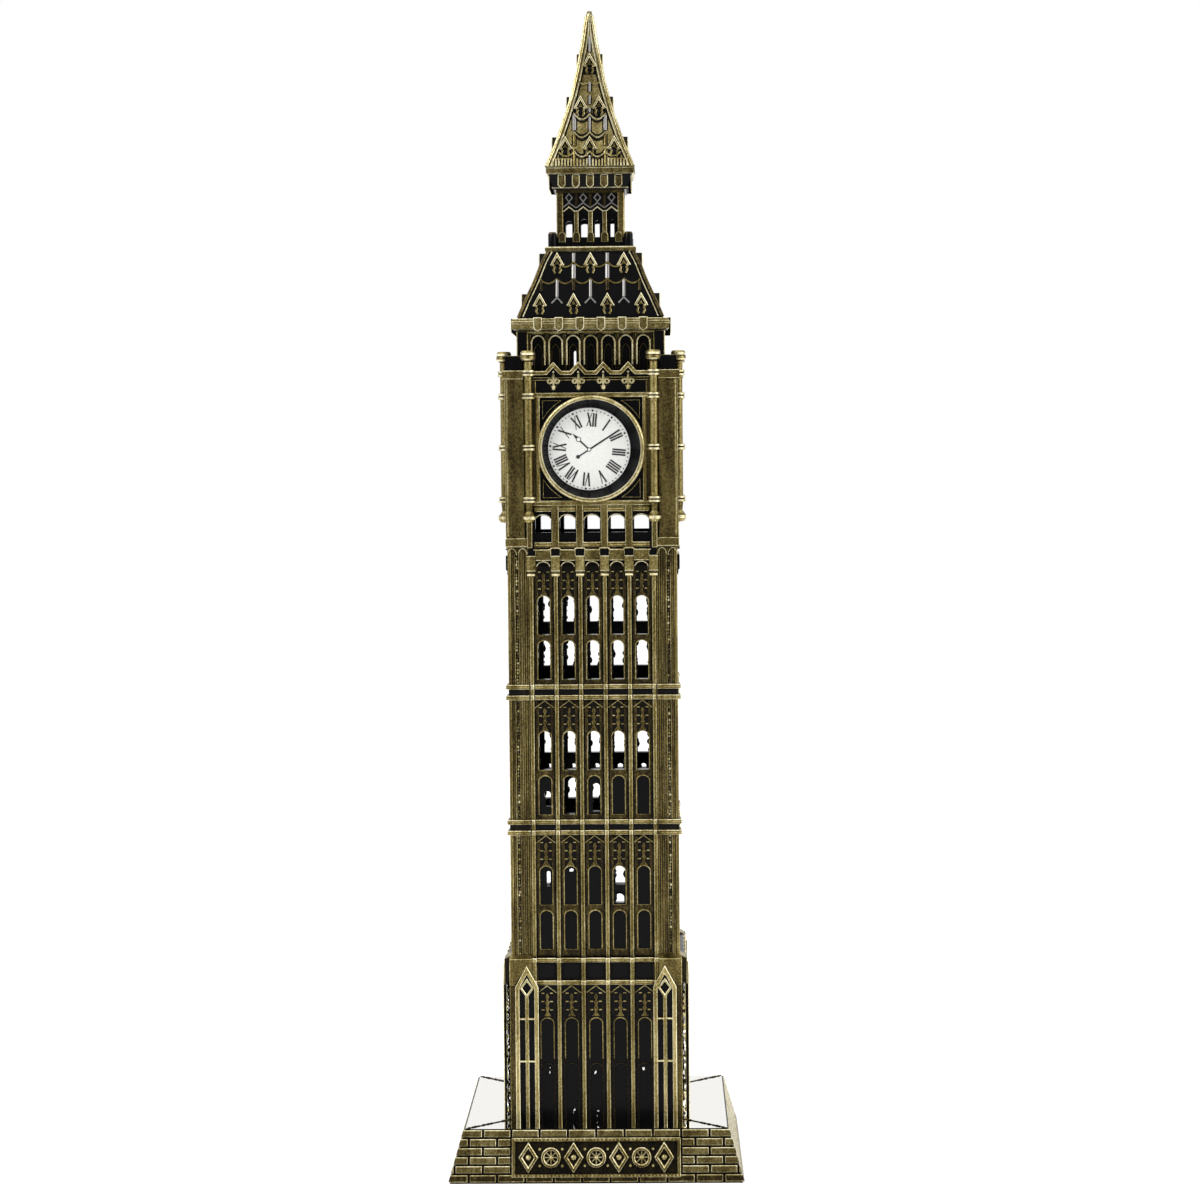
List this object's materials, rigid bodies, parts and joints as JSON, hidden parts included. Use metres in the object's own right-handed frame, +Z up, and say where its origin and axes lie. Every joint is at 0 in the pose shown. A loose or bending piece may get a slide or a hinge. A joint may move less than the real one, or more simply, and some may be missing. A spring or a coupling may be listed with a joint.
{
  "type": "miniature clock tower",
  "caption": "Die-cast souvenir clock tower on a brick-pattern plinth, with clock dials, pierced lancet windows, a dormered roof, an open lantern and a tall square spire.",
  "frame": {"origin": "centre of the plinth's underside, on the surface the tower stands on", "axes": "+Z up the tower to the spire's tip, the plaque side faces -Y, +X to the right of it"},
  "size_m": [0.0446, 0.0446, 0.18],
  "materials": {
    "antique_brass": "antique brass plating on zinc die castings: black lacquer in the recesses, worn bright on the edges",
    "bezel_brass": "antique brass plated ring, satin",
    "dial_card": "printed white card disc, semi-matt",
    "zinc_steel": "zinc-plated sheet and screws",
    "black_rubber": "matt black rubber sheet"
  },
  "bodies": {
    "root": {"wall_front": "antique_brass", "wall_right": "antique_brass", "wall_back": "antique_brass", "wall_left": "antique_brass", "belfry": "antique_brass", "lower_roof": "antique_brass", "lantern": "antique_brass", "spire": "antique_brass", "bezel_front": "bezel_brass", "bezel_right": "bezel_brass", "bezel_back": "bezel_brass", "bezel_left": "bezel_brass", "dial_front": "dial_card", "dial_right": "dial_card", "dial_back": "dial_card", "dial_left": "dial_card", "base_plate": "zinc_steel", "screw_front": "zinc_steel", "screw_right": "zinc_steel", "screw_back": "zinc_steel", "screw_left": "zinc_steel", "base_pad": "black_rubber"}
  },
  "joints": []
}
